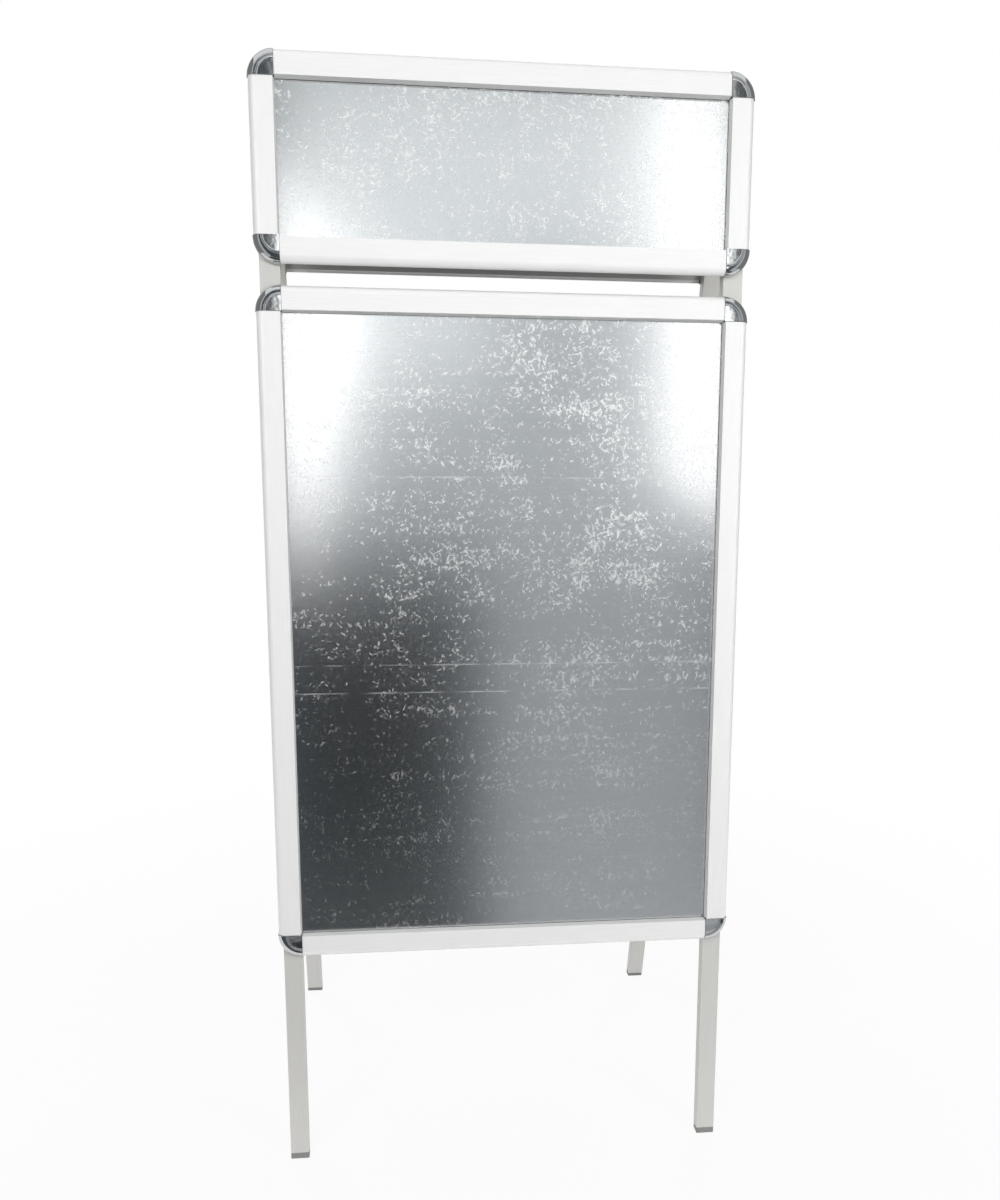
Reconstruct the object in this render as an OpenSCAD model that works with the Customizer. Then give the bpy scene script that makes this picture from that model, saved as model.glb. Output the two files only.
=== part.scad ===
// A-frame sign: two sides on four posts, hinged at the top and held open by folding stays.
// Each side carries a header frame and a poster frame whose four rails snap open.
// The origin is on the floor, midway between the four feet; the front looks along -Y.

/* [Posters] */
// Width of the posters
poster_w = 594; // [420:1:700]
// Height of the main poster
poster_h = 841; // [594:1:1000]
// Height of the header poster
header_h = 202; // [160:1:300]
// Edge of a poster that the rails cover
overlap = 10; // [7:0.5:11]
// Thickness of the sheet-metal back panel
panel_t = 0.8; // [0.5:0.1:1]
// Thickness of the clear cover sheet
cover_t = 0.8; // [0.5:0.1:1]

/* [Snap frame] */
// Width of a rail seen from the front
rail_w = 32; // [31:0.5:40]
// Depth of a frame, from its back to the face of the rails
rail_d = 13; // [12.5:0.5:16]
// Radius of the rounded outer edge of a rail
rail_r = 9.5; // [9:0.5:10]
// Wall of a rail
rail_wall = 1.3; // [1:0.1:1.5]
// Slope of the inner lip, measured across the rail
lip_run = 1.6; // [0.5:0.1:2.5]
// Floor of the fixed base profile
base_t = 1.2; // [1:0.1:1.5]
// Radius of the bead that a rail turns on
bead_r = 1.3; // [1.2:0.05:1.4]
// Wall of the hook that holds the bead
hook_t = 1; // [0.8:0.05:1.1]
// Length of a spring clip
spring_len = 40; // [20:1:45]
// Thickness of a spring clip
spring_t = 0.6; // [0.4:0.1:0.8]
// Wall of a corner cap
cap_wall = 2; // [1.2:0.1:2.5]
// Height of a corner cap's faces over the rails
cap_proud = 1.2; // [0.5:0.1:1.4]
// Length of the tongues that hold a corner cap in the base profiles
tongue_len = 12; // [8:1:14]

/* [Posts] */
// Lean of each side from the vertical, in degrees
lean = 8.6; // [6:0.1:12]
// Free length of the posts below the poster frame
leg_len = 311; // [150:1:400]
// Space between the header frame and the poster frame
frame_gap = 26; // [20:1:60]
// Width of a post
post_w = 26; // [22:0.5:28]
// Depth of a post
post_d = 16; // [14:0.5:20]
// Wall of a post
post_wall = 1.5; // [1.2:0.1:2]
// Distance from a post's outer side to the frame's outer edge
post_inset = 5.5; // [5:0.5:8]
// Height of the plastic foot below the post, at its low edge
foot_h = 6; // [4:0.5:12]
// Length of the plugs inside the posts
plug_len = 18; // [10:1:30]

/* [Hinge and stays] */
// Distance of the hinge pin below the header frame's top edge
hinge_drop = 10; // [6:0.5:20]
// Radius of the hinge pin
pin_r = 2; // [1.5:0.1:2.2]
// Outer radius of the hinge knuckles
knuckle_r = 3.5; // [3.3:0.1:4]
// Thickness of a hinge leaf
leaf_t = 1.5; // [1:0.1:1.6]
// Width of a hinge leaf
leaf_w = 22; // [18:1:25]
// Length of a hinge leaf below the pin
leaf_h = 46; // [35:1:60]
// Distance of the stays' pivots below the hinge pin, along the posts
stay_drop = 800; // [500:5:1100]
// Width of a stay link
stay_w = 14; // [10:0.5:14]
// Thickness of a stay link
stay_t = 2; // [1.5:0.1:2.2]
// Radius of the stays' rivets
stay_pin_r = 3; // [2:0.1:3.5]

/* [Fits] */
// Gap between the ends of a rail and the corner caps
end_gap = 0.3; // [0.2:0.05:1]
// Gap round the bead in its hook
bead_gap = 0.3; // [0.3:0.01:0.35]
// Room for the poster between the panel and the cover sheet
poster_gap = 0.2; // [0.1:0.05:0.5]
// Gap between the lip and the cover sheet
lip_gap = 0.3; // [0.3:0.05:0.6]
// Gap between a spring clip and the rail over it
spring_gap = 0.5; // [0.3:0.05:1]
// Radial clearance of a pin in its hole
pin_gap = 0.05; // [0.03:0.01:0.1]
// Gap between moving parts side by side
side_gap = 0.5; // [0.3:0.05:0.8]
// Gap of a plug in its post, each side
plug_gap = 0.2; // [0.1:0.05:0.4]

/* [Hidden] */
$fn = 48;
// How far a cut runs past the face that it goes through, and a joined piece into its neighbour
cut = 1;
sink = 0.2;
open_w = poster_w - 2 * overlap;
open_h = poster_h - 2 * overlap;
head_h = header_h - 2 * overlap;
frame_w = open_w + 2 * rail_w;
frame_h = open_h + 2 * rail_w;
head_frame_h = head_h + 2 * rail_w;

// Section of a rail: w runs inwards from the outer edge and d outwards from the back
edge_d = rail_d - rail_r;
edge_lift = 0.3;
lip_h = 1;
web_t = 1.2;
pivot_w = rail_wall + 2 * bead_r;
pivot_d = edge_d + edge_lift + web_t / 2;

// Section of a base profile: the hook sweeps round the bead from its pillar
hook_in = bead_r + bead_gap;
hook_out = hook_in + hook_t;
hook_start = -70;
hook_end = 130;
pillar_w = 1.5;
floor_side = 0.5;
floor_w0 = pivot_w + floor_side;
sheet_d = base_t + panel_t + poster_gap;
cover_d = sheet_d + cover_t;
lip_d = cover_d + lip_gap;
rib_t = 1.5;
rib_gap = 1;
rib_w0 = rail_w - overlap - rib_gap - rib_t;

// Spring clips: two on each edge, at a share of its length from the middle
spring_r = (rail_d - rail_wall - spring_gap - base_t) / 2;
spring_side = 1.3;
spring_w = pivot_w + hook_out + spring_side + spring_r;
spring_share = 0.28;
mouth_start = 140;
mouth_end = 220;

// Corner caps: a rounded rim, a groove and a bead about a flat face, and tongues below
cap_r = rail_r + cap_proud;
cap_d = rail_d + cap_proud;
rim_w = rail_w - rail_r;
ring_r = 1.6;
ring_sink = 1;
ring_w = rim_w - 1.5 * ring_r;
groove_r = 0.7;
groove_w = ring_w + ring_r + groove_r / 2;
tongue_side = 1.5;
tongue_w0 = pivot_w + hook_out + tongue_side;
tongue_w1 = rib_w0 - rib_gap - tongue_side;
tongue_t = 2.8;
tongue_d = base_t + tongue_t;

// Side: s runs down the posts from the hinge pin, and t outwards from the hinge plane
leaf_room = 0.3;
post_t = leaf_t + leaf_room;
frame_t = post_t + post_d;
post_x = frame_w / 2 - post_inset - post_w / 2;
top_room = 2.5;
post_top = knuckle_r + top_room;
head_s = head_frame_h / 2 - hinge_drop;
frame_s = head_frame_h - hinge_drop + frame_gap + frame_h / 2;
floor_s = frame_s + frame_h / 2 + leg_len;
hinge_z = floor_s * cos(lean) - (frame_t + rail_d) * sin(lean);
post_end = (hinge_z + post_t * sin(lean)) / cos(lean) - foot_h;

// Frame rivets: their places down a frame are shares of its opening's height
rivet_r = 2.4;
rivet_side = 0.5;
rivet_w = rail_w - (frame_w / 2 - post_x) + rivet_side;
rivet_head_t = 1.2;
rivet_head_r = 2 * rivet_r - 0.8;
rivet_tail_t = 1.6;
rivet_tail_r = rivet_r + 1;
head_rivets = [-0.11, 0.11];
poster_rivets = [-0.4, -0.1, 0.1, 0.4];
rivet_z = concat(
    [for (share = head_rivets) share * head_h - head_s],
    [for (share = poster_rivets) share * open_h - frame_s]
);

// Plugs, feet and post caps
plug_w = post_w - 2 * (post_wall + plug_gap);
plug_d = post_d - 2 * (post_wall + plug_gap);
foot_round = 1.5;
foot_block = 4 * foot_h;
plate_t = 1.2;

// Stays: the pivot of a link is in the middle of its post
stay_pivot_t = post_t + post_d / 2;
stay_reach = stay_drop * sin(lean) + stay_pivot_t * cos(lean);
stay_z = hinge_z - stay_drop * cos(lean) + stay_pivot_t * sin(lean);
post_in = post_x - post_w / 2;
stay_room = 1.5;
layer1 = post_in - stay_room;
layer2 = layer1 - stay_t - side_gap;
head_t = 1;
head_r = stay_pin_r + 1.5;
tail_t = 1.5;
tail_r = stay_pin_r + 1;
pin_head_t = 1;
pin_head_r = pin_r + 1;

// Edges of a frame, in quarter turns from the bottom
bottom_edge = 0;
right_edge = 1;
top_edge = 2;
left_edge = 3;

// Places one side's pieces: x across, y = -t, z = -s, turned to its lean about the hinge pin
module on_side(side) {
    rotate([0, 0, side == "rear" ? 180 : 0])
        translate([0, 0, hinge_z])
            rotate([-lean, 0, 0])
                children();
}

// Places a frame that is drawn flat, face up, with its centre at the origin
module on_frame(side, s) {
    on_side(side)
        translate([0, -frame_t, -s])
            rotate([90, 0, 0])
                children();
}

// Runs a section along one edge of a flat frame
module along_edge(edge, w, h, length) {
    rotate([0, 0, 90 * edge])
        translate([-length / 2, -(edge % 2 == 0 ? h : w) / 2 - rail_w, 0])
            rotate([90, 0, 90])
                linear_extrude(length)
                    children();
}

function edge_len(edge, w, h) = edge % 2 == 0 ? w : h;

// Sector of a circle between two angles
module sector(r, start, end) {
    steps = 6;
    angles = [for (i = [0:steps]) start + (end - start) * i / steps];
    polygon(concat([[0, 0]], [for (a = angles) [r * cos(a), r * sin(a)]]));
}

// Snap rail section: rounded edge, flat face, sloping lip, and the bead on its web
module rail_section() {
    difference() {
        union() {
            intersection() {
                translate([rail_r, edge_d])
                    circle(rail_r);
                translate([0, edge_d + edge_lift])
                    square([rail_w, rail_d]);
            }
            polygon([
                [rail_r, lip_d],
                [rail_w, lip_d],
                [rail_w - lip_run, rail_d],
                [rail_r, rail_d]
            ]);
        }
        translate([rail_r, edge_d])
            circle(rail_r - rail_wall);
        polygon([
            [rail_r, lip_d - lip_h],
            [rail_w - rail_wall, lip_d - lip_h],
            [rail_w - rail_wall, lip_d],
            [rail_w - lip_run - rail_wall, rail_d - rail_wall],
            [rail_r, rail_d - rail_wall]
        ]);
    }
    translate([rail_wall / 2, pivot_d - web_t / 2])
        square([pivot_w - rail_wall / 2, web_t]);
    translate([pivot_w, pivot_d])
        circle(bead_r);
}

// Base profile section: floor, hook for the bead, and the rib that stops the panel
module base_section() {
    difference() {
        union() {
            translate([floor_w0, 0])
                square([rail_w - floor_w0, base_t]);
            translate([pivot_w + hook_out - pillar_w, base_t / 2])
                square([pillar_w, pivot_d - base_t / 2]);
            translate([pivot_w, pivot_d])
                intersection() {
                    circle(hook_out);
                    sector(2 * hook_out, hook_start, hook_end);
                }
            translate([rib_w0, base_t / 2])
                square([rib_t, cover_d - base_t / 2]);
        }
        translate([pivot_w, pivot_d])
            circle(hook_in);
    }
}

// Spring clip section: an open ring on a flat foot
module spring_section() {
    translate([spring_w, base_t + spring_r]) {
        difference() {
            circle(spring_r);
            circle(spring_r - spring_t);
            sector(2 * spring_r, mouth_start, mouth_end);
        }
        intersection() {
            circle(spring_r);
            translate([-spring_r / 2, -spring_r])
                square([spring_r, spring_t]);
        }
    }
}

// Places of the rivets along a side rail, as drawn on the flat frame
module at_rivets(w, h, shares) {
    for (sx = [-1, 1], share = shares)
        translate([sx * (w / 2 + rail_w - rivet_w), share * h, 0])
            children();
}

module frame_base(w, h, shares) {
    difference() {
        union() {
            for (edge = [bottom_edge:left_edge])
                along_edge(edge, w, h, edge_len(edge, w, h))
                    base_section();
        }
        at_rivets(w, h, shares)
            translate([0, 0, -cut])
                cylinder(h = base_t + 2 * cut, r = rivet_r + pin_gap);
    }
}

module frame_springs(w, h) {
    for (edge = [bottom_edge:left_edge], share = [-spring_share, spring_share])
        rotate([0, 0, 90 * edge])
            translate([share * edge_len(edge, w, h), 0, 0])
                rotate([0, 0, -90 * edge])
                    along_edge(edge, w, h, spring_len)
                        spring_section();
}

module frame_rail(edge, w, h) {
    along_edge(edge, w, h, edge_len(edge, w, h) - 2 * end_gap)
        rail_section();
}

// Corner cap section, turned about the corner of the opening: r runs outwards
module cap_section() {
    difference() {
        union() {
            translate([rim_w, edge_d])
                intersection() {
                    circle(cap_r);
                    square(cap_r);
                }
            square([rim_w, cap_d]);
            translate([rim_w, 0])
                square([cap_r, edge_d]);
            translate([ring_w, cap_d - ring_sink])
                circle(ring_r);
        }
        translate([rim_w, edge_d])
            intersection() {
                circle(cap_r - cap_wall);
                square(cap_r);
            }
        translate([-cut, base_t])
            square([rim_w + cut, cap_d - base_t - cap_wall]);
        translate([rim_w, base_t])
            square([cap_r - cap_wall, edge_d - base_t]);
        translate([groove_w, cap_d])
            circle(groove_r);
    }
    translate([rail_w - tongue_w1, base_t / 2])
        square([tongue_w1 - tongue_w0, tongue_d - base_t / 2]);
}

module corner_cap() {
    rotate_extrude(angle = 90, $fn = 96)
        cap_section();
    for (turn = [0, 1])
        mirror([turn, -turn, 0])
            translate([rail_w - tongue_w1, -tongue_len, base_t])
                cube([tongue_w1 - tongue_w0, tongue_len + sink, tongue_d - base_t]);
}

module frame_corners(w, h) {
    for (sx = [0, 1], sy = [0, 1])
        mirror([sx, 0, 0])
            mirror([0, sy, 0])
                translate([w / 2, h / 2, 0])
                    corner_cap();
}

module frame_sheet(w, h, d, t) {
    translate([-w / 2 - overlap, -h / 2 - overlap, d])
        cube([w + 2 * overlap, h + 2 * overlap, t]);
}

// Blind rivet: head on the base profile, body through it and the post's wall, and formed tail
module frame_rivets(w, h, shares) {
    at_rivets(w, h, shares) {
        translate([0, 0, base_t])
            cylinder(h = rivet_head_t, r = rivet_head_r);
        translate([0, 0, -post_wall - rivet_tail_t])
            cylinder(h = post_wall + rivet_tail_t + base_t, r = rivet_r);
        translate([0, 0, -post_wall - rivet_tail_t])
            cylinder(h = rivet_tail_t, r = rivet_tail_r);
    }
}

// Post: tube with holes for the frame rivets in its outer wall and for the stay in its inner wall
module post(side, sx) {
    on_side(side)
        difference() {
            translate([sx * post_x - post_w / 2, -frame_t, -post_end])
                cube([post_w, post_d, post_end - post_top]);
            translate([sx * post_x - post_w / 2 + post_wall, -frame_t + post_wall, -post_end - cut])
                cube([post_w - 2 * post_wall, post_d - 2 * post_wall, post_end - post_top + 2 * cut]);
            for (z = rivet_z)
                translate([sx * (frame_w / 2 - rivet_w), -frame_t + post_wall + cut, z])
                    rotate([90, 0, 0])
                        cylinder(h = post_wall + 2 * cut, r = rivet_r + pin_gap);
            translate([sx * (post_in - cut), -stay_pivot_t, -stay_drop])
                rotate([0, sx * 90, 0])
                    cylinder(h = post_wall + 2 * cut, r = stay_pin_r + pin_gap);
        }
}

// Block with rounded upright edges
module rounded_block(w, d, h, r) {
    translate([-w / 2, -d / 2 + r, 0])
        cube([w, d - 2 * r, h]);
    translate([-w / 2 + r, -d / 2, 0])
        cube([w - 2 * r, d, h]);
    for (cx = [-1, 1], cy = [-1, 1])
        translate([cx * (w / 2 - r), cy * (d / 2 - r), 0])
            cylinder(h = h, r = r);
}

// Foot: a cap below the post with its sole cut level, and a plug up inside the tube
module foot(side, sx) {
    intersection() {
        on_side(side)
            translate([sx * post_x, -stay_pivot_t, -post_end]) {
                translate([0, 0, -foot_block])
                    rounded_block(post_w, post_d, foot_block, foot_round);
                translate([-plug_w / 2, -plug_d / 2, 0])
                    cube([plug_w, plug_d, plug_len]);
            }
        translate([-frame_w, -hinge_z, 0])
            cube([2 * frame_w, 2 * hinge_z, hinge_z]);
    }
}

// Post caps: a plate on the top of each post, with a plug down inside the tube
module post_caps(side) {
    on_side(side)
        for (sx = [-1, 1])
            translate([sx * post_x, -stay_pivot_t, -post_top]) {
                translate([-post_w / 2, -post_d / 2, 0])
                    cube([post_w, post_d, plate_t]);
                translate([-plug_w / 2, -plug_d / 2, -plug_len])
                    cube([plug_w, plug_d, plug_len + plate_t / 2]);
            }
}

// Hinge leaf on a post's inner face, rolled into knuckles: two in front and one at the rear
module hinge_leaf(knuckles) {
    cell = leaf_w / 3;
    difference() {
        union() {
            translate([-leaf_w / 2, -post_t, -leaf_h])
                cube([leaf_w, leaf_t, leaf_h - knuckle_r - side_gap]);
            for (k = knuckles) {
                knuckle_len = cell - (k == 1 ? side_gap : side_gap / 2);
                translate([-leaf_w / 2 + k * cell + (k > 0 ? side_gap / 2 : 0), 0, 0])
                    rotate([0, 90, 0]) {
                        cylinder(h = knuckle_len, r = knuckle_r);
                        translate([0, -post_t, 0])
                            cube([2 * knuckle_r, leaf_t, knuckle_len]);
                    }
            }
        }
        translate([-leaf_w / 2 - cut, 0, 0])
            rotate([0, 90, 0])
                cylinder(h = leaf_w + 2 * cut, r = pin_r + pin_gap);
    }
}

module hinge_leaves(side, knuckles) {
    on_side(side)
        for (sx = [-1, 1])
            translate([sx * post_x, 0, 0])
                hinge_leaf(knuckles);
}

// Link of a stay with its pivot at the origin, its length along +y and its thickness along +x
module stay_link(half_rivet) {
    rotate([90, 0, 90])
        difference() {
            union() {
                linear_extrude(stay_t) {
                    circle(stay_w / 2);
                    translate([0, -stay_w / 2])
                        square([stay_reach, stay_w]);
                    translate([stay_reach, 0])
                        circle(stay_w / 2);
                }
                translate([stay_reach, 0, half_rivet > 0 ? stay_t : -head_t])
                    cylinder(h = head_t, r = head_r);
            }
            translate([0, 0, -cut])
                cylinder(h = stay_t + 2 * cut, r = stay_pin_r + pin_gap);
        }
}

// Stay links lie level when the sign is open; front ones in the outer layer, rear in the inner
module stay(side, sx) {
    layer = side == "front" ? layer1 : layer2;
    mirror([sx < 0 ? 1 : 0, 0, 0])
        mirror([0, side == "rear" ? 1 : 0, 0])
            translate([layer - stay_t, -stay_reach, stay_z])
                stay_link(side == "front" ? 1 : 0);
}

// Rivet that a stay link turns on: shoulder against the post, shank, and heads at both ends
module stay_rivets(side) {
    layer = side == "front" ? layer1 : layer2;
    head_x = layer - stay_t - pin_gap - head_t;
    tail_x = post_in + post_wall;
    for (sx = [0, 1])
        mirror([sx, 0, 0])
            mirror([0, side == "rear" ? 1 : 0, 0])
                translate([0, -stay_reach, stay_z])
                    rotate([0, 90, 0]) {
                        translate([0, 0, head_x]) {
                            cylinder(h = head_t, r = head_r);
                            cylinder(h = tail_x + tail_t - head_x, r = stay_pin_r);
                        }
                        translate([0, 0, layer + pin_gap])
                            cylinder(h = post_in - layer - pin_gap, r = tail_r);
                        translate([0, 0, tail_x])
                            cylinder(h = tail_t, r = tail_r);
                    }
}

module side_post(side, sx) {
    color("#c9c9c6")
        post(side, sx);
}

module side_foot(side, sx) {
    color("#9b9b99")
        foot(side, sx);
}

module front_left_post() { side_post("front", -1); }
module front_right_post() { side_post("front", 1); }
module rear_left_post() { side_post("rear", 1); }
module rear_right_post() { side_post("rear", -1); }
module front_left_foot() { side_foot("front", -1); }
module front_right_foot() { side_foot("front", 1); }
module rear_left_foot() { side_foot("rear", 1); }
module rear_right_foot() { side_foot("rear", -1); }

module front_post_caps() { color("#8f8f8d") post_caps("front"); }
module rear_post_caps() { color("#8f8f8d") post_caps("rear"); }
module front_hinge_leaves() { color("#b4b4b2") hinge_leaves("front", [0, 2]); }
module rear_hinge_leaves() { color("#b4b4b2") hinge_leaves("rear", [1]); }

module hinge_pins() {
    color("#a8a8a6")
        for (sx = [-1, 1])
            translate([sx * post_x - leaf_w / 2 - pin_head_t, 0, hinge_z])
                rotate([0, 90, 0]) {
                    cylinder(h = leaf_w + 2 * pin_head_t, r = pin_r);
                    cylinder(h = pin_head_t, r = pin_head_r);
                    translate([0, 0, leaf_w + pin_head_t])
                        cylinder(h = pin_head_t, r = pin_head_r);
                }
}

module front_left_stay() { color("#b4b4b2") stay("front", -1); }
module front_right_stay() { color("#b4b4b2") stay("front", 1); }
module rear_left_stay() { color("#b4b4b2") stay("rear", -1); }
module rear_right_stay() { color("#b4b4b2") stay("rear", 1); }
module front_stay_rivets() { color("#a8a8a6") stay_rivets("front"); }
module rear_stay_rivets() { color("#a8a8a6") stay_rivets("rear"); }

module side_frame_rivets(side) {
    color("#a8a8a6") {
        on_frame(side, head_s)
            frame_rivets(open_w, head_h, head_rivets);
        on_frame(side, frame_s)
            frame_rivets(open_w, open_h, poster_rivets);
    }
}

module front_frame_rivets() { side_frame_rivets("front"); }
module rear_frame_rivets() { side_frame_rivets("rear"); }

// Pieces of a frame, by the height of its opening
module base(h, shares) { color("#c4c4c2") frame_base(open_w, h, shares); }
module corners(h) { color("#e8e8e8") frame_corners(open_w, h); }
module panel(h) { color("#8a9094") frame_sheet(open_w, h, base_t, panel_t); }
module cover(h) { color("#dfe8ee", 0.3) frame_sheet(open_w, h, sheet_d, cover_t); }
module springs(h) { color("#9a9a9a") frame_springs(open_w, h); }
module rail(edge, h) { color("#e6e6e4") frame_rail(edge, open_w, h); }

module header(side) { on_frame(side, head_s) children(); }
module poster(side) { on_frame(side, frame_s) children(); }

module front_header_base() { header("front") base(head_h, head_rivets); }
module front_header_corners() { header("front") corners(head_h); }
module front_header_panel() { header("front") panel(head_h); }
module front_header_cover() { header("front") cover(head_h); }
module front_header_springs() { header("front") springs(head_h); }
module front_header_top_rail() { header("front") rail(top_edge, head_h); }
module front_header_bottom_rail() { header("front") rail(bottom_edge, head_h); }
module front_header_left_rail() { header("front") rail(left_edge, head_h); }
module front_header_right_rail() { header("front") rail(right_edge, head_h); }

module front_poster_base() { poster("front") base(open_h, poster_rivets); }
module front_poster_corners() { poster("front") corners(open_h); }
module front_poster_panel() { poster("front") panel(open_h); }
module front_poster_cover() { poster("front") cover(open_h); }
module front_poster_springs() { poster("front") springs(open_h); }
module front_poster_top_rail() { poster("front") rail(top_edge, open_h); }
module front_poster_bottom_rail() { poster("front") rail(bottom_edge, open_h); }
module front_poster_left_rail() { poster("front") rail(left_edge, open_h); }
module front_poster_right_rail() { poster("front") rail(right_edge, open_h); }

module rear_header_base() { header("rear") base(head_h, head_rivets); }
module rear_header_corners() { header("rear") corners(head_h); }
module rear_header_panel() { header("rear") panel(head_h); }
module rear_header_cover() { header("rear") cover(head_h); }
module rear_header_springs() { header("rear") springs(head_h); }
module rear_header_top_rail() { header("rear") rail(top_edge, head_h); }
module rear_header_bottom_rail() { header("rear") rail(bottom_edge, head_h); }
module rear_header_left_rail() { header("rear") rail(left_edge, head_h); }
module rear_header_right_rail() { header("rear") rail(right_edge, head_h); }

module rear_poster_base() { poster("rear") base(open_h, poster_rivets); }
module rear_poster_corners() { poster("rear") corners(open_h); }
module rear_poster_panel() { poster("rear") panel(open_h); }
module rear_poster_cover() { poster("rear") cover(open_h); }
module rear_poster_springs() { poster("rear") springs(open_h); }
module rear_poster_top_rail() { poster("rear") rail(top_edge, open_h); }
module rear_poster_bottom_rail() { poster("rear") rail(bottom_edge, open_h); }
module rear_poster_left_rail() { poster("rear") rail(left_edge, open_h); }
module rear_poster_right_rail() { poster("rear") rail(right_edge, open_h); }

front_left_post();
front_right_post();
rear_left_post();
rear_right_post();
front_left_foot();
front_right_foot();
rear_left_foot();
rear_right_foot();
front_post_caps();
rear_post_caps();
front_hinge_leaves();
rear_hinge_leaves();
hinge_pins();
front_left_stay();
front_right_stay();
rear_left_stay();
rear_right_stay();
front_stay_rivets();
rear_stay_rivets();
front_frame_rivets();
rear_frame_rivets();
front_header_base();
front_header_corners();
front_header_panel();
front_header_cover();
front_header_springs();
front_header_top_rail();
front_header_bottom_rail();
front_header_left_rail();
front_header_right_rail();
front_poster_base();
front_poster_corners();
front_poster_panel();
front_poster_cover();
front_poster_springs();
front_poster_top_rail();
front_poster_bottom_rail();
front_poster_left_rail();
front_poster_right_rail();
rear_header_base();
rear_header_corners();
rear_header_panel();
rear_header_cover();
rear_header_springs();
rear_header_top_rail();
rear_header_bottom_rail();
rear_header_left_rail();
rear_header_right_rail();
rear_poster_base();
rear_poster_corners();
rear_poster_panel();
rear_poster_cover();
rear_poster_springs();
rear_poster_top_rail();
rear_poster_bottom_rail();
rear_poster_left_rail();
rear_poster_right_rail();
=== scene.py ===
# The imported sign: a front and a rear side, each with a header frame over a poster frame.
# Lengths are in metres.
import math
import bmesh
import bpy
from mathutils import Matrix, Vector

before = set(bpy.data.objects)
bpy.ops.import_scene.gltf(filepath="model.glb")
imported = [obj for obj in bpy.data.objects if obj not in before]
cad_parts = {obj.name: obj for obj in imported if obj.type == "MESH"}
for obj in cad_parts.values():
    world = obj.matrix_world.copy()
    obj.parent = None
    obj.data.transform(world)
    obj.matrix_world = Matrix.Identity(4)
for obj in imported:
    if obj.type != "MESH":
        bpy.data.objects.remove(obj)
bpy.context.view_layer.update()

# Camera: it stands before the poster's upper part, a little to the left, and looks down at the sign.
# The lens is shifted up, because the photograph's middle lies above the line that the camera looks
# along. The sensor's width, in millimetres, lies along the picture's height.
PHOTO_HEIGHT = 1200
FOCAL_PIXELS = 1081.4
SENSOR = 36
CAMERA_PLACE = Vector((-0.1791, -1.5519, 1.072))
YAW = math.radians(6.858)
PITCH = math.radians(18.142)
ROLL = math.radians(-0.978)
LENS_SHIFT = 0.1125

forward = Vector((math.sin(YAW) * math.cos(PITCH), math.cos(YAW) * math.cos(PITCH), -math.sin(PITCH)))
level = Vector((math.cos(YAW), -math.sin(YAW), 0))
down = forward.cross(level)
right = level * math.cos(ROLL) + down * math.sin(ROLL)
up = level * math.sin(ROLL) - down * math.cos(ROLL)
camera = bpy.data.objects.new("camera", bpy.data.cameras.new("camera"))
camera.data.sensor_width = SENSOR
camera.data.lens = FOCAL_PIXELS * SENSOR / PHOTO_HEIGHT
camera.data.shift_y = LENS_SHIFT
camera.matrix_world = Matrix.Translation(CAMERA_PLACE) @ Matrix((right, up, -forward)).transposed().to_4x4()
bpy.context.collection.objects.link(camera)
bpy.context.scene.camera = camera

# Posts: full-length rectangular tubes of extruded aluminium, anodised in natural silver. The matt
# bath leaves a fine satin face with faint lines along the extrusion. The real lines lie about a
# tenth of a millimetre apart, and are drawn a millimetre wide so that they show.
SIDES = ("front", "rear")
POST_SILVER = "#d6d5d1"
POST_LINES = 1.2e-3
POST_ROUGHNESS = 0.48
LINE_STRETCH = 40
LINE_SHADES = (0.94, 1.05)
LINE_RELIEF = 0.12
LINE_DEPTH = 0.05e-3
BATH_CLOUD = 110e-3
BATH_SPREAD = 0.06
ANODISED_METAL = 0.25
WELD_REACH = 1e-6
EDGE_ROUND = 0.4e-3
EDGE_STEPS = 3
EDGE_BEND = math.radians(40)
SHARP_BEND = math.radians(32)


def linear(hex_colour):
    """The linear RGBA of an sRGB hex colour."""
    channels = [int(hex_colour[i:i + 2], 16) / 255 for i in (1, 3, 5)]
    return [c / 12.92 if c <= 0.04045 else ((c + 0.055) / 1.055) ** 2.4 for c in channels] + [1]


def tone(hex_colour, factor):
    """The colour made lighter or darker, as linear RGBA."""
    return [min(1, c * factor) for c in linear(hex_colour)[:3]] + [1]


def add_node(tree, kind, inputs=None, **settings):
    """Adds a node; inputs holds plain values and the nodes or sockets that feed it."""
    node = tree.nodes.new(kind)
    for name, value in settings.items():
        setattr(node, name, value)
    for name, value in (inputs or {}).items():
        if isinstance(value, bpy.types.Node):
            value = next(socket for socket in value.outputs if socket.enabled)
        if isinstance(value, bpy.types.NodeSocket):
            tree.links.new(value, node.inputs[name])
        else:
            node.inputs[name].default_value = value
    return node


def finish_material(name, build):
    """A material whose surface is the shader that build(tree) returns."""
    material = bpy.data.materials.new(name)
    material.use_nodes = True
    tree = material.node_tree
    tree.nodes.clear()
    shader = build(tree)
    add_node(tree, "ShaderNodeOutputMaterial", {"Surface": shader})
    return material


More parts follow.
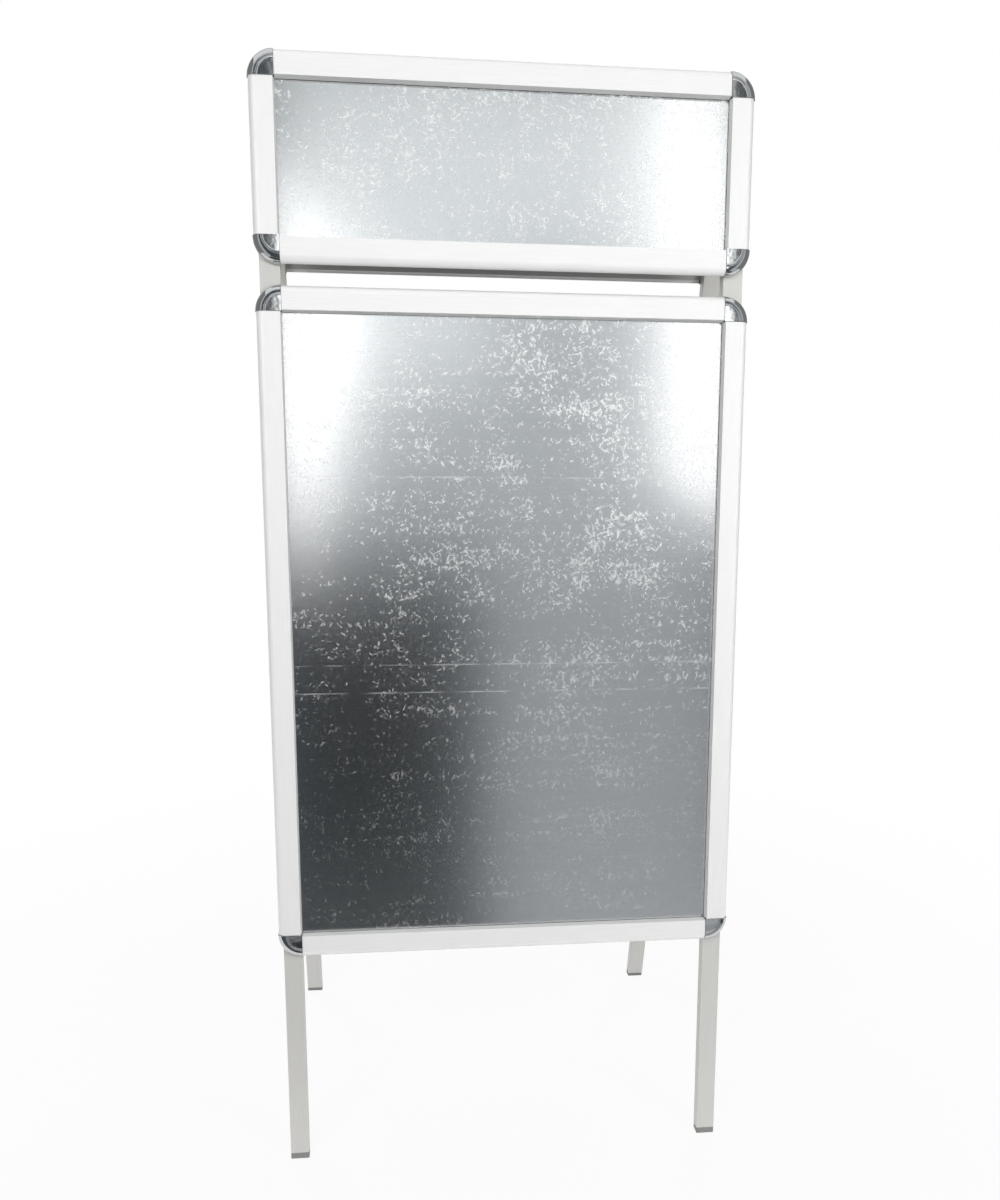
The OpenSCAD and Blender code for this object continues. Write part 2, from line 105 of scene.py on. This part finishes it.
def anodised_aluminium(name, colour, line_width, roughness, across):
    """Matt anodised extrusion: metal under a thin oxide, its lines narrow along the axes in across."""
    line_size = [line_width if axis in across else line_width * LINE_STRETCH for axis in "xyz"]

    def build(tree):
        place = add_node(tree, "ShaderNodeTexCoord").outputs["Object"]
        run = add_node(tree, "ShaderNodeMapping", {
            "Vector": place, "Scale": line_size,
        }, vector_type="TEXTURE")
        lines = add_node(tree, "ShaderNodeTexNoise", {"Vector": run, "Scale": 1, "Detail": 3})
        cloud = add_node(tree, "ShaderNodeTexNoise", {"Vector": place, "Scale": 1 / BATH_CLOUD, "Detail": 2})
        shade = add_node(tree, "ShaderNodeMix", {
            "Factor": lines, "A": tone(colour, LINE_SHADES[0]), "B": tone(colour, LINE_SHADES[1]),
        }, data_type="RGBA")
        bath = add_node(tree, "ShaderNodeMapRange", {
            "Value": cloud, "To Min": roughness - BATH_SPREAD, "To Max": roughness + BATH_SPREAD,
        })
        bump = add_node(tree, "ShaderNodeBump", {
            "Height": lines, "Strength": LINE_RELIEF, "Distance": LINE_DEPTH,
        })
        return add_node(tree, "ShaderNodeBsdfPrincipled", {
            "Base Color": shade, "Metallic": ANODISED_METAL, "Roughness": bath, "Normal": bump,
        })

    return finish_material(name, build)


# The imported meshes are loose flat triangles. This joins their shading where the real face is round,
# and leaves it sharp where two faces meet at more than SHARP_BEND.
smoothing = bpy.data.node_groups.new("round_faces_shaded_smooth", "GeometryNodeTree")
for way in ("INPUT", "OUTPUT"):
    smoothing.interface.new_socket("mesh", in_out=way, socket_type="NodeSocketGeometry")
bends = add_node(smoothing, "GeometryNodeInputMeshEdgeAngle")
sharp_bends = add_node(smoothing, "FunctionNodeCompare", {
    "A": bends, "B": SHARP_BEND,
}, operation="GREATER_THAN")
soft_faces = add_node(smoothing, "GeometryNodeSetShadeSmooth", {
    "Geometry": add_node(smoothing, "NodeGroupInput"), "Shade Smooth": True,
}, domain="FACE")
kept_edges = add_node(smoothing, "GeometryNodeSetShadeSmooth", {
    "Geometry": soft_faces, "Selection": sharp_bends, "Shade Smooth": False,
}, domain="EDGE")
add_node(smoothing, "NodeGroupOutput", {0: kept_edges})


def dress(node, material, edge=0):
    """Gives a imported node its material, smooth round faces and, if asked, small rounded edges."""
    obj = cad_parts[node]
    obj.data.materials.clear()
    obj.data.materials.append(material)
    weld = obj.modifiers.new("weld", "WELD")
    weld.merge_threshold = WELD_REACH
    if edge:
        bevel = obj.modifiers.new("round", "BEVEL")
        bevel.width = edge
        bevel.segments = EDGE_STEPS
        bevel.limit_method = "ANGLE"
        bevel.angle_limit = EDGE_BEND
    obj.modifiers.new("smooth", "NODES").node_group = smoothing
    weight = obj.modifiers.new("weight", "WEIGHTED_NORMAL")
    weight.keep_sharp = True


post_metal = anodised_aluminium("post_anodised_aluminium", POST_SILVER, POST_LINES, POST_ROUGHNESS, "x")
for side in SIDES:
    for hand in ("left", "right"):
        dress(f"{side}_{hand}_post", post_metal, EDGE_ROUND)

# Feet and top caps of the posts: plugs moulded in grey polyethylene, pushed into the tubes.
# The mould leaves a dull, faintly grained skin, whose grain is drawn coarser than it is so that it
# shows, and use leaves it scuffed.
FOOT_GREY = "#8e8e8b"
CAP_GREY = "#6f706f"
MOULD_GRAIN = 0.9e-3
GRAIN_RELIEF = 0.25
GRAIN_DEPTH = 0.1e-3
SCUFF = 17e-3
SCUFF_SHADES = (0.85, 1.12)
PLASTIC_ROUGHNESS = 0.55


def moulded_polyethylene(name, colour):
    """Moulded polyethylene: a soft, dull plastic with the mould's fine grain."""

    def build(tree):
        place = add_node(tree, "ShaderNodeTexCoord").outputs["Object"]
        grain = add_node(tree, "ShaderNodeTexNoise", {"Vector": place, "Scale": 1 / MOULD_GRAIN, "Detail": 2})
        scuffs = add_node(tree, "ShaderNodeTexNoise", {"Vector": place, "Scale": 1 / SCUFF, "Detail": 4})
        shade = add_node(tree, "ShaderNodeMix", {
            "Factor": scuffs, "A": tone(colour, SCUFF_SHADES[0]), "B": tone(colour, SCUFF_SHADES[1]),
        }, data_type="RGBA")
        bump = add_node(tree, "ShaderNodeBump", {
            "Height": grain, "Strength": GRAIN_RELIEF, "Distance": GRAIN_DEPTH,
        })
        return add_node(tree, "ShaderNodeBsdfPrincipled", {
            "Base Color": shade, "Roughness": PLASTIC_ROUGHNESS, "Normal": bump,
        })

    return finish_material(name, build)


foot_plastic = moulded_polyethylene("foot_polyethylene", FOOT_GREY)
cap_plastic = moulded_polyethylene("post_cap_polyethylene", CAP_GREY)
for side in SIDES:
    dress(f"{side}_post_caps", cap_plastic, EDGE_ROUND)
    for hand in ("left", "right"):
        dress(f"{side}_{hand}_foot", foot_plastic, EDGE_ROUND)

# Hinges, folding stays and their rivets: steel strip and wire, pressed and zinc plated.
# The plating is bright, with a faint cloudy bloom where it has begun to dull.
ZINC = "#c2c5c8"
ZINC_BLOOM = 7e-3
BLOOM_SHADES = (0.78, 1.1)
BLOOM_ROUGHNESS = (0.25, 0.5)


def zinc_plated_steel(tree):
    """Bright zinc plating: metal with a cloudy bloom."""
    place = add_node(tree, "ShaderNodeTexCoord").outputs["Object"]
    bloom = add_node(tree, "ShaderNodeTexNoise", {"Vector": place, "Scale": 1 / ZINC_BLOOM, "Detail": 4})
    shade = add_node(tree, "ShaderNodeMix", {
        "Factor": bloom, "A": tone(ZINC, BLOOM_SHADES[0]), "B": tone(ZINC, BLOOM_SHADES[1]),
    }, data_type="RGBA")
    dull = add_node(tree, "ShaderNodeMapRange", {
        "Value": bloom, "To Min": BLOOM_ROUGHNESS[0], "To Max": BLOOM_ROUGHNESS[1],
    })
    return add_node(tree, "ShaderNodeBsdfPrincipled", {
        "Base Color": shade, "Metallic": 1, "Roughness": dull,
    })


zinc = finish_material("zinc_plated_steel", zinc_plated_steel)
dress("hinge_pins", zinc)
for side in SIDES:
    dress(f"{side}_hinge_leaves", zinc, EDGE_ROUND)
    dress(f"{side}_stay_rivets", zinc)
    dress(f"{side}_frame_rivets", zinc)
    for hand in ("left", "right"):
        dress(f"{side}_{hand}_stay", zinc, EDGE_ROUND)

# Base profiles: the fixed half of each frame, extruded aluminium left as it came from the die.
# The bare metal is a little darker and shinier than the anodised rails, with the same lines.
FRAMES = ("header", "poster")
MILL_SILVER = "#b9b9b6"
MILL_LINES = 0.9e-3
MILL_ROUGHNESS = 0.4

mill_metal = anodised_aluminium("base_mill_aluminium", MILL_SILVER, MILL_LINES, MILL_ROUGHNESS, "z")
for side in SIDES:
    for part in FRAMES:
        dress(f"{side}_{part}_base", mill_metal)

# Back panels: galvanised steel sheet, a cool grey gloss with faint lines from the rolling mill. Small
# pale flecks of frosted zinc lie in rows and clouds, and a few level rub marks come from stacking. The
# flecks are drawn denser and stronger to the top and right, a painted highlight for the light they
# catch there. The header's panel is cut across the roll, so its rows stand upright.
SHEET_GREY = "#ecedee"
SHEET_DARK = "#dfe1e2"
SHEET_ROUGHNESS = 0.19

# The real rolling lines are finer than these, which are as coarse as they need to be to show.
ROLL_SIZE = (70e-3, 1.4e-3, 1.4e-3)
ROLL_RELIEF = 0.1
ROLL_DEPTH = 0.02e-3

# Flecks, their rows and clouds, and where on a panel they are painted denser, as a highlight to the
# top and right. HEIGHT_BAND runs up the sign, and ACROSS_BAND from its left to its right.
FLECK_WHITE = "#fdfefe"
FLECK_SIZE = (3.3e-3, 3.3e-3, 8.5e-3)
FLECK_TURNS = (12, 68, 140)
FLECK_EDGE = 0.12
FLECK_ROUGHNESS = 0.3
FLECK_METAL = 0.52
CLOUD = 90e-3
CLOUD_GRIT = 0.62
ROW_SIZE = (200e-3, 15e-3, 15e-3)
NOISE_BAND = (0.35, 0.65)
HEIGHT_BAND = (0.5, 0.95)
ACROSS_BAND = (-0.08, 0.14)
CLOUD_LIMITS = (0.68, 0.58)
ROW_LIMITS = (0.03, -0.03)
HEIGHT_HIGHLIGHT_LIMITS = (0.03, 0)
ACROSS_HIGHLIGHT_LIMITS = (0.01, -0.02)
# The flecks' strength at the panel's foot; toward the top they are painted stronger, as a highlight.
LOW_FLECK_HIGHLIGHT = 0.35
HEADER_TURN = 90

# Rub marks: their heights over the floor, and the breaks in them.
RUB_HEIGHTS = (0.95, 0.705, 0.668)
RUB_WIDTH = 0.9e-3
RUB_BREAK = 45e-3
RUB_BAND = (0.4, 0.6)
RUB_STRENGTH = 0.5


def galvanised_sheet(name, roll_turn):
    """Galvanised sheet: glossy zinc with rows of frosted flecks, rolling lines and rub marks."""

    def build(tree):
        place = add_node(tree, "ShaderNodeTexCoord").outputs["Object"]
        parts = add_node(tree, "ShaderNodeSeparateXYZ", {"Vector": place})
        across, height = parts.outputs["X"], parts.outputs["Z"]
        patterns = []
        for size, turn, detail in (
            (ROW_SIZE, roll_turn, 1),
            (ROLL_SIZE, roll_turn, 2),
            *((FLECK_SIZE, roll_turn + turn, 1) for turn in FLECK_TURNS),
        ):
            run = add_node(tree, "ShaderNodeMapping", {
                "Vector": place, "Rotation": (0, math.radians(turn), 0), "Scale": size,
            }, vector_type="TEXTURE")
            pattern = add_node(tree, "ShaderNodeTexNoise", {"Vector": run, "Scale": 1, "Detail": detail})
            patterns.append(pattern)
        rows, rolled, *strokes = patterns
        clouds = add_node(tree, "ShaderNodeTexNoise", {
            "Vector": place, "Scale": 1 / CLOUD, "Detail": 4, "Roughness": CLOUD_GRIT,
        })

        # A stroke of noise frosts where it rises over this limit, so a lower limit gives more flecks.
        # The height and across parts lower the limit to the top and right: a painted highlight.
        limit = 0
        for value, (low, high), (start, end) in (
            (clouds, NOISE_BAND, CLOUD_LIMITS),
            (rows, NOISE_BAND, ROW_LIMITS),
            (height, HEIGHT_BAND, HEIGHT_HIGHLIGHT_LIMITS),
            (across, ACROSS_BAND, ACROSS_HIGHLIGHT_LIMITS),
        ):
            part_limit = add_node(tree, "ShaderNodeMapRange", {
                "Value": value, "From Min": low, "From Max": high, "To Min": start, "To Max": end,
            }, interpolation_type="SMOOTHSTEP")
            limit = add_node(tree, "ShaderNodeMath", {0: limit, 1: part_limit}, operation="ADD")
        frost = 0
        for stroke in strokes:
            over = add_node(tree, "ShaderNodeMath", {0: stroke, 1: limit}, operation="SUBTRACT")
            flecks = add_node(tree, "ShaderNodeMapRange", {"Value": over, "From Max": FLECK_EDGE})
            frost = add_node(tree, "ShaderNodeMath", {0: frost, 1: flecks}, operation="MAXIMUM")
        # Flecks fade toward the panel's foot: a painted highlight, strongest at the top.
        fleck_highlight = add_node(tree, "ShaderNodeMapRange", {
            "Value": height, "From Min": HEIGHT_BAND[0], "From Max": HEIGHT_BAND[1], "To Min": LOW_FLECK_HIGHLIGHT,
        })
        frost = add_node(tree, "ShaderNodeMath", {0: frost, 1: fleck_highlight}, operation="MULTIPLY")

        gaps = add_node(tree, "ShaderNodeTexNoise", {"Vector": place, "Scale": 1 / RUB_BREAK, "Detail": 2})
        broken = add_node(tree, "ShaderNodeMapRange", {
            "Value": gaps, "From Min": RUB_BAND[0], "From Max": RUB_BAND[1], "To Max": RUB_STRENGTH,
        })
        for rub in RUB_HEIGHTS:
            near = add_node(tree, "ShaderNodeMath", {0: height, 1: rub, 2: RUB_WIDTH}, operation="COMPARE")
            line = add_node(tree, "ShaderNodeMath", {0: near, 1: broken}, operation="MULTIPLY")
            frost = add_node(tree, "ShaderNodeMath", {0: frost, 1: line}, operation="MAXIMUM")

        plain = add_node(tree, "ShaderNodeMix", {
            "Factor": rolled, "A": linear(SHEET_DARK), "B": linear(SHEET_GREY),
        }, data_type="RGBA")
        shade = add_node(tree, "ShaderNodeMix", {
            "Factor": frost, "A": plain, "B": linear(FLECK_WHITE),
        }, data_type="RGBA")
        metal = add_node(tree, "ShaderNodeMapRange", {"Value": frost, "To Min": 1, "To Max": FLECK_METAL})
        gloss = add_node(tree, "ShaderNodeMapRange", {
            "Value": frost, "To Min": SHEET_ROUGHNESS, "To Max": FLECK_ROUGHNESS,
        })
        bump = add_node(tree, "ShaderNodeBump", {
            "Height": rolled, "Strength": ROLL_RELIEF, "Distance": ROLL_DEPTH,
        })
        return add_node(tree, "ShaderNodeBsdfPrincipled", {
            "Base Color": shade, "Metallic": metal, "Roughness": gloss, "Normal": bump,
        })

    return finish_material(name, build)


sheets = {
    "header": galvanised_sheet("header_galvanised_sheet", HEADER_TURN),
    "poster": galvanised_sheet("poster_galvanised_sheet", 0),
}
for side in SIDES:
    for part in FRAMES:
        dress(f"{side}_{part}_panel", sheets[part])

# Cover sheets: clear PET, cut to the poster's size, that keeps rain and hands off the poster.
# It is thin and glossy; each face mirrors a little, more when seen edge on, and lets the rest through.
PET_CLEAR = "#fefefe"
PET_MIRROR = 0.04
PET_RISE = 5
PET_HAZE = 70e-3
PET_ROUGHNESS = (0.02, 0.08)


def clear_pet(tree):
    """Clear PET sheet: a faint mirror, stronger edge on, over clear plastic with a patchy haze."""
    place = add_node(tree, "ShaderNodeTexCoord").outputs["Object"]
    haze = add_node(tree, "ShaderNodeTexNoise", {"Vector": place, "Scale": 1 / PET_HAZE, "Detail": 3})
    rough = add_node(tree, "ShaderNodeMapRange", {
        "Value": haze, "To Min": PET_ROUGHNESS[0], "To Max": PET_ROUGHNESS[1],
    })
    turned = add_node(tree, "ShaderNodeLayerWeight").outputs["Facing"]
    steep = add_node(tree, "ShaderNodeMath", {0: turned, 1: PET_RISE}, operation="POWER")
    share = add_node(tree, "ShaderNodeMapRange", {"Value": steep, "To Min": PET_MIRROR})
    clear = add_node(tree, "ShaderNodeBsdfTransparent", {"Color": linear(PET_CLEAR)})
    mirror = add_node(tree, "ShaderNodeBsdfGlossy", {"Roughness": rough})
    return add_node(tree, "ShaderNodeMixShader", {0: share, 1: clear, 2: mirror})


pet = finish_material("clear_pet_sheet", clear_pet)
for side in SIDES:
    for part in FRAMES:
        dress(f"{side}_{part}_cover", pet)

# Spring clips: C-shaped strips of spring steel under the rails, seen when a rail is open.
# They are rolled and oiled, which leaves them dark with fine lines, drawn coarser so that they show.
SPRING_STEEL = "#8b8f93"
SPRING_LINES = 1.4e-3
SPRING_SHADES = (0.8, 1.1)
SPRING_ROUGHNESS = 0.35


def spring_steel(tree):
    """Rolled spring steel: dark, oiled metal with rolling lines."""
    place = add_node(tree, "ShaderNodeTexCoord").outputs["Object"]
    lines = add_node(tree, "ShaderNodeTexNoise", {"Vector": place, "Scale": 1 / SPRING_LINES, "Detail": 2})
    shade = add_node(tree, "ShaderNodeMix", {
        "Factor": lines, "A": tone(SPRING_STEEL, SPRING_SHADES[0]), "B": tone(SPRING_STEEL, SPRING_SHADES[1]),
    }, data_type="RGBA")
    return add_node(tree, "ShaderNodeBsdfPrincipled", {
        "Base Color": shade, "Metallic": 1, "Roughness": SPRING_ROUGHNESS,
    })


clip_steel = finish_material("spring_steel", spring_steel)
for side in SIDES:
    for part in FRAMES:
        dress(f"{side}_{part}_springs", clip_steel)

# Snap rails: the hinged half of each frame, extruded aluminium with a matt silver anodising.
# Their edges are drawn slightly round, so that a hand can run along them. The lines of the
# extrusion run along each rail, and are drawn as coarse as the posts' so that they show.
RAIL_SILVER = "#f6f6f5"
RAIL_LINES = 1.1e-3
RAIL_ROUGHNESS = 0.5

for way, across, edges in (("level", "yz", ("top", "bottom")), ("upright", "x", ("left", "right"))):
    rail_metal = anodised_aluminium(
        f"{way}_rail_anodised_aluminium", RAIL_SILVER, RAIL_LINES, RAIL_ROUGHNESS, across)
    for side in SIDES:
        for part in FRAMES:
            for edge in edges:
                dress(f"{side}_{part}_{edge}_rail", rail_metal, EDGE_ROUND)

# Corner caps: ABS moulded as quarter discs with a rounded rim, a groove and a bead, then chromed.
# The chrome is a clean mirror, faintly wavy as the moulding under it is.
CHROME = "#c9cbcc"
CHROME_ROUGHNESS = 0.06
CHROME_WAVE = 8e-3
WAVE_RELIEF = 0.15
WAVE_DEPTH = 0.2e-3


def chromed_abs(tree):
    """Chrome on ABS: a mirror with the moulding's slight waviness."""
    place = add_node(tree, "ShaderNodeTexCoord").outputs["Object"]
    wave = add_node(tree, "ShaderNodeTexNoise", {"Vector": place, "Scale": 1 / CHROME_WAVE, "Detail": 1})
    bump = add_node(tree, "ShaderNodeBump", {
        "Height": wave, "Strength": WAVE_RELIEF, "Distance": WAVE_DEPTH,
    })
    return add_node(tree, "ShaderNodeBsdfPrincipled", {
        "Base Color": linear(CHROME), "Metallic": 1, "Roughness": CHROME_ROUGHNESS, "Normal": bump,
    })


chrome = finish_material("chromed_abs", chromed_abs)
for side in SIDES:
    for part in FRAMES:
        dress(f"{side}_{part}_corners", chrome)

# Studio: a white floor and sky, and cards that only reflections see. The card before a face is dark,
# with a grey field and a white window on each side of it; a mat of the same paint lies below it.
# A plain grey card at each end models the rails' round edges.
WHITE = "#ffffff"
FLOOR_SIZE = 14
FLOOR_PAPER = "#dadada"
FLOOR_GLOW = 0.92
SHADOW_REACH = (0.4, 1.8)
SKY_LIGHT = 0.3

# The cards and mats: their places, and the sRGB colours of their paint.
CARD_DISTANCE = 1.9
CARD_SIZE = (7, 8)
CARD_LIGHT = 2.6
CARD_WINDOW = WHITE
CARD_TOP = "#a1a4a5"
CARD_CENTRE = "#7b7e80"
CARD_LOW_RIGHT = "#6d6f71"
CARD_LOW_LEFT = "#1c1e1f"
CARD_FOOT = "#2b2e2f"
CARD_EDGE = "#333638"
CARD_FAR = "#808284"
CARD_BACK = "#747677"
MAT_DISTANCE = 1.2
MAT_SIZE = (7, 1.3)
MAT_HEIGHT = 0.004
END_DISTANCE = 2.4
END_GREY = "#8c8c8a"

# Where a layer of the face card's paint starts and where it is full: across the card from its
# middle, or up it from the floor.
CENTRE_SIDE = (0.1, 0.3)
CENTRE_BELOW = (1.75, 1.5)
TOP_ABOVE = (1.85, 2.15)
LEFT_WINDOW = (-0.14, -0.32)
RIGHT_WINDOW = (0.62, 0.84)
LOW_BELOW = (1.4, 0.85)
LOW_RIGHT_SIDE = (0.02, 0.24)
FOOT_BELOW = (0.5, 0)
EDGE_LEFT = (-0.42, -0.45)
EDGE_RIGHT = (0.9, 0.94)
EDGE_ABOVE = (2.6, 2.66)
FAR_SIDE = (1.1, 1.5)
FAR_ABOVE = (2.9, 3.3)

# How the windows' inner edges lean. Each row holds two heights, and how far to the left the edge
# lies below the first and above the second.
LEFT_LEANS = ((1.1, 1.7, 0.12, 0), (1.95, 2.45, 0, 0.3))
RIGHT_LEANS = ((1.05, 1.35, -0.3, 0),)


def seen_white(tree):
    """1 for rays from the camera, reflections and clear plastic; 0 for light on the sign."""
    path = add_node(tree, "ShaderNodeLightPath")
    mirror = add_node(tree, "ShaderNodeMath", {
        0: path.outputs["Is Camera Ray"], 1: path.outputs["Is Glossy Ray"],
    }, operation="MAXIMUM")
    return add_node(tree, "ShaderNodeMath", {
        0: mirror, 1: path.outputs["Is Transmission Ray"],
    }, operation="MAXIMUM")


def floor_white(tree):
    """White paper floor that keeps the sign's shadow and is plain white beyond it."""
    paper = add_node(tree, "ShaderNodeBsdfDiffuse", {"Color": linear(FLOOR_PAPER)})
    glow = add_node(tree, "ShaderNodeEmission", {"Color": linear(WHITE), "Strength": 1})
    place = add_node(tree, "ShaderNodeTexCoord").outputs["Object"]
    away = add_node(tree, "ShaderNodeVectorMath", {0: place}, operation="LENGTH").outputs["Value"]
    share = add_node(tree, "ShaderNodeMapRange", {
        "Value": away, "From Min": SHADOW_REACH[0], "From Max": SHADOW_REACH[1], "To Min": FLOOR_GLOW,
    }, interpolation_type="SMOOTHSTEP")
    share = add_node(tree, "ShaderNodeMath", {0: seen_white(tree), 1: share}, operation="MULTIPLY")
    return add_node(tree, "ShaderNodeMixShader", {0: share, 1: paper, 2: glow})


def face_card(tree):
    """Card before a face, painted in layers on the side toward the sign and plain grey behind."""
    place = add_node(tree, "ShaderNodeTexCoord").outputs["Object"]
    apart = add_node(tree, "ShaderNodeSeparateXYZ", {"Vector": place})
    across, height = apart.outputs["X"], apart.outputs["Y"]
    outward = add_node(tree, "ShaderNodeMath", {0: across}, operation="ABSOLUTE")
    leaning = []
    for leans in (LEFT_LEANS, RIGHT_LEANS):
        leant = across
        for bottom, top, start, end in leans:
            shift = add_node(tree, "ShaderNodeMapRange", {
                "Value": height, "From Min": bottom, "From Max": top, "To Min": start, "To Max": end,
            })
            leant = add_node(tree, "ShaderNodeMath", {0: leant, 1: shift}, operation="ADD")
        leaning.append(leant)
    left_side, right_side = leaning

    paint = {}
    for name, ground, layers in (
        ("edge", CARD_EDGE, (
            (outward, FAR_SIDE, CARD_FAR),
            (height, FAR_ABOVE, CARD_FAR),
        )),
        ("low", CARD_LOW_LEFT, (
            (height, FOOT_BELOW, CARD_FOOT),
            (across, LOW_RIGHT_SIDE, CARD_LOW_RIGHT),
        )),
        ("field", CARD_TOP, (
            (across, CENTRE_SIDE, CARD_CENTRE),
            (height, CENTRE_BELOW, CARD_CENTRE),
            (height, TOP_ABOVE, CARD_TOP),
            (left_side, LEFT_WINDOW, CARD_WINDOW),
            (right_side, RIGHT_WINDOW, CARD_WINDOW),
            (height, LOW_BELOW, "low"),
            (across, EDGE_RIGHT, "edge"),
            (across, EDGE_LEFT, "edge"),
            (height, EDGE_ABOVE, "edge"),
        )),
    ):
        colour = linear(ground)
        for value, (start, full), over in layers:
            share = add_node(tree, "ShaderNodeMapRange", {
                "Value": value, "From Min": start, "From Max": full,
            }, interpolation_type="SMOOTHSTEP")
            colour = add_node(tree, "ShaderNodeMix", {
                "Factor": share, "A": colour, "B": paint[over] if over in paint else linear(over),
            }, data_type="RGBA")
        paint[name] = colour
    toward = add_node(tree, "ShaderNodeNewGeometry").outputs["Backfacing"]
    seen = add_node(tree, "ShaderNodeMix", {
        "Factor": toward, "A": linear(CARD_BACK), "B": paint["field"],
    }, data_type="RGBA")
    return add_node(tree, "ShaderNodeEmission", {"Color": seen, "Strength": CARD_LIGHT})


def end_card(tree):
    """Card at an end of the sign: plain grey, which models the round edges of the rails."""
    return add_node(tree, "ShaderNodeEmission", {"Color": linear(END_GREY), "Strength": 1})


def flat_sheet(name, width, depth, material):
    """A flat rectangle of the stage, centred on its origin."""
    mesh = bpy.data.meshes.new(name)
    shape = bmesh.new()
    bmesh.ops.create_grid(shape, x_segments=1, y_segments=1, size=0.5)
    bmesh.ops.scale(shape, vec=(width, depth, 1), verts=shape.verts)
    shape.to_mesh(mesh)
    shape.free()
    mesh.materials.append(material)
    obj = bpy.data.objects.new(name, mesh)
    bpy.context.collection.objects.link(obj)
    return obj


flat_sheet("floor", FLOOR_SIZE, FLOOR_SIZE, finish_material("floor_paper", floor_white))
face_paint = finish_material("face_card_paint", face_card)
end_paint = finish_material("end_card_paint", end_card)
for name, turn, tilt, distance, lift, size, paint in (
    ("front_card", 0, 90, CARD_DISTANCE, 0, CARD_SIZE, face_paint),
    ("rear_card", 180, 90, CARD_DISTANCE, 0, CARD_SIZE, face_paint),
    ("front_mat", 0, 180, MAT_DISTANCE, MAT_HEIGHT, MAT_SIZE, face_paint),
    ("rear_mat", 180, 180, MAT_DISTANCE, MAT_HEIGHT, MAT_SIZE, face_paint),
    ("left_card", 90, 90, END_DISTANCE, 0, CARD_SIZE, end_paint),
    ("right_card", -90, 90, END_DISTANCE, 0, CARD_SIZE, end_paint),
):
    card = flat_sheet(name, *size, paint)
    card.matrix_world = (
        Matrix.Rotation(math.radians(-turn), 4, "Z")
        @ Matrix.Translation((0, -distance, lift))
        @ Matrix.Rotation(math.radians(tilt), 4, "X")
    )
    card.visible_camera = False
    card.visible_diffuse = False
    card.visible_shadow = False

sky = bpy.data.worlds.new("sky")
sky.use_nodes = True
sky_tree = sky.node_tree
sky_tree.nodes.clear()
sky_strength = add_node(sky_tree, "ShaderNodeMapRange", {"Value": seen_white(sky_tree), "To Min": SKY_LIGHT})
sky_glow = add_node(sky_tree, "ShaderNodeBackground", {"Color": linear(WHITE), "Strength": sky_strength})
add_node(sky_tree, "ShaderNodeOutputWorld", {"Surface": sky_glow})
bpy.context.scene.world = sky

# Lamps: four square panels of light, all of one strength, aimed at the middle of the sign. Mirrors
# don't show them, so that the corner caps and panels reflect the cards alone.
LAMP_SIZE = 1.2
LAMP_WATTS = 31
LAMP_AIM = Vector((0, 0, 0.7))

for name, place in (
    ("front_left_lamp", (-1.2, -2.1, 2.0)),
    ("front_right_lamp", (1.5, -2.1, 1.6)),
    ("rear_left_lamp", (-1.5, 2.1, 1.6)),
    ("rear_right_lamp", (1.2, 2.1, 2.0)),
):
    lamp = bpy.data.objects.new(name, bpy.data.lights.new(name, "AREA"))
    lamp.data.size = LAMP_SIZE
    lamp.data.energy = LAMP_WATTS
    aim = (Vector(place) - LAMP_AIM).to_track_quat("Z", "Y")
    lamp.matrix_world = Matrix.Translation(place) @ aim.to_matrix().to_4x4()
    lamp.visible_glossy = False
    bpy.context.collection.objects.link(lamp)

bpy.context.scene.view_settings.view_transform = "Standard"
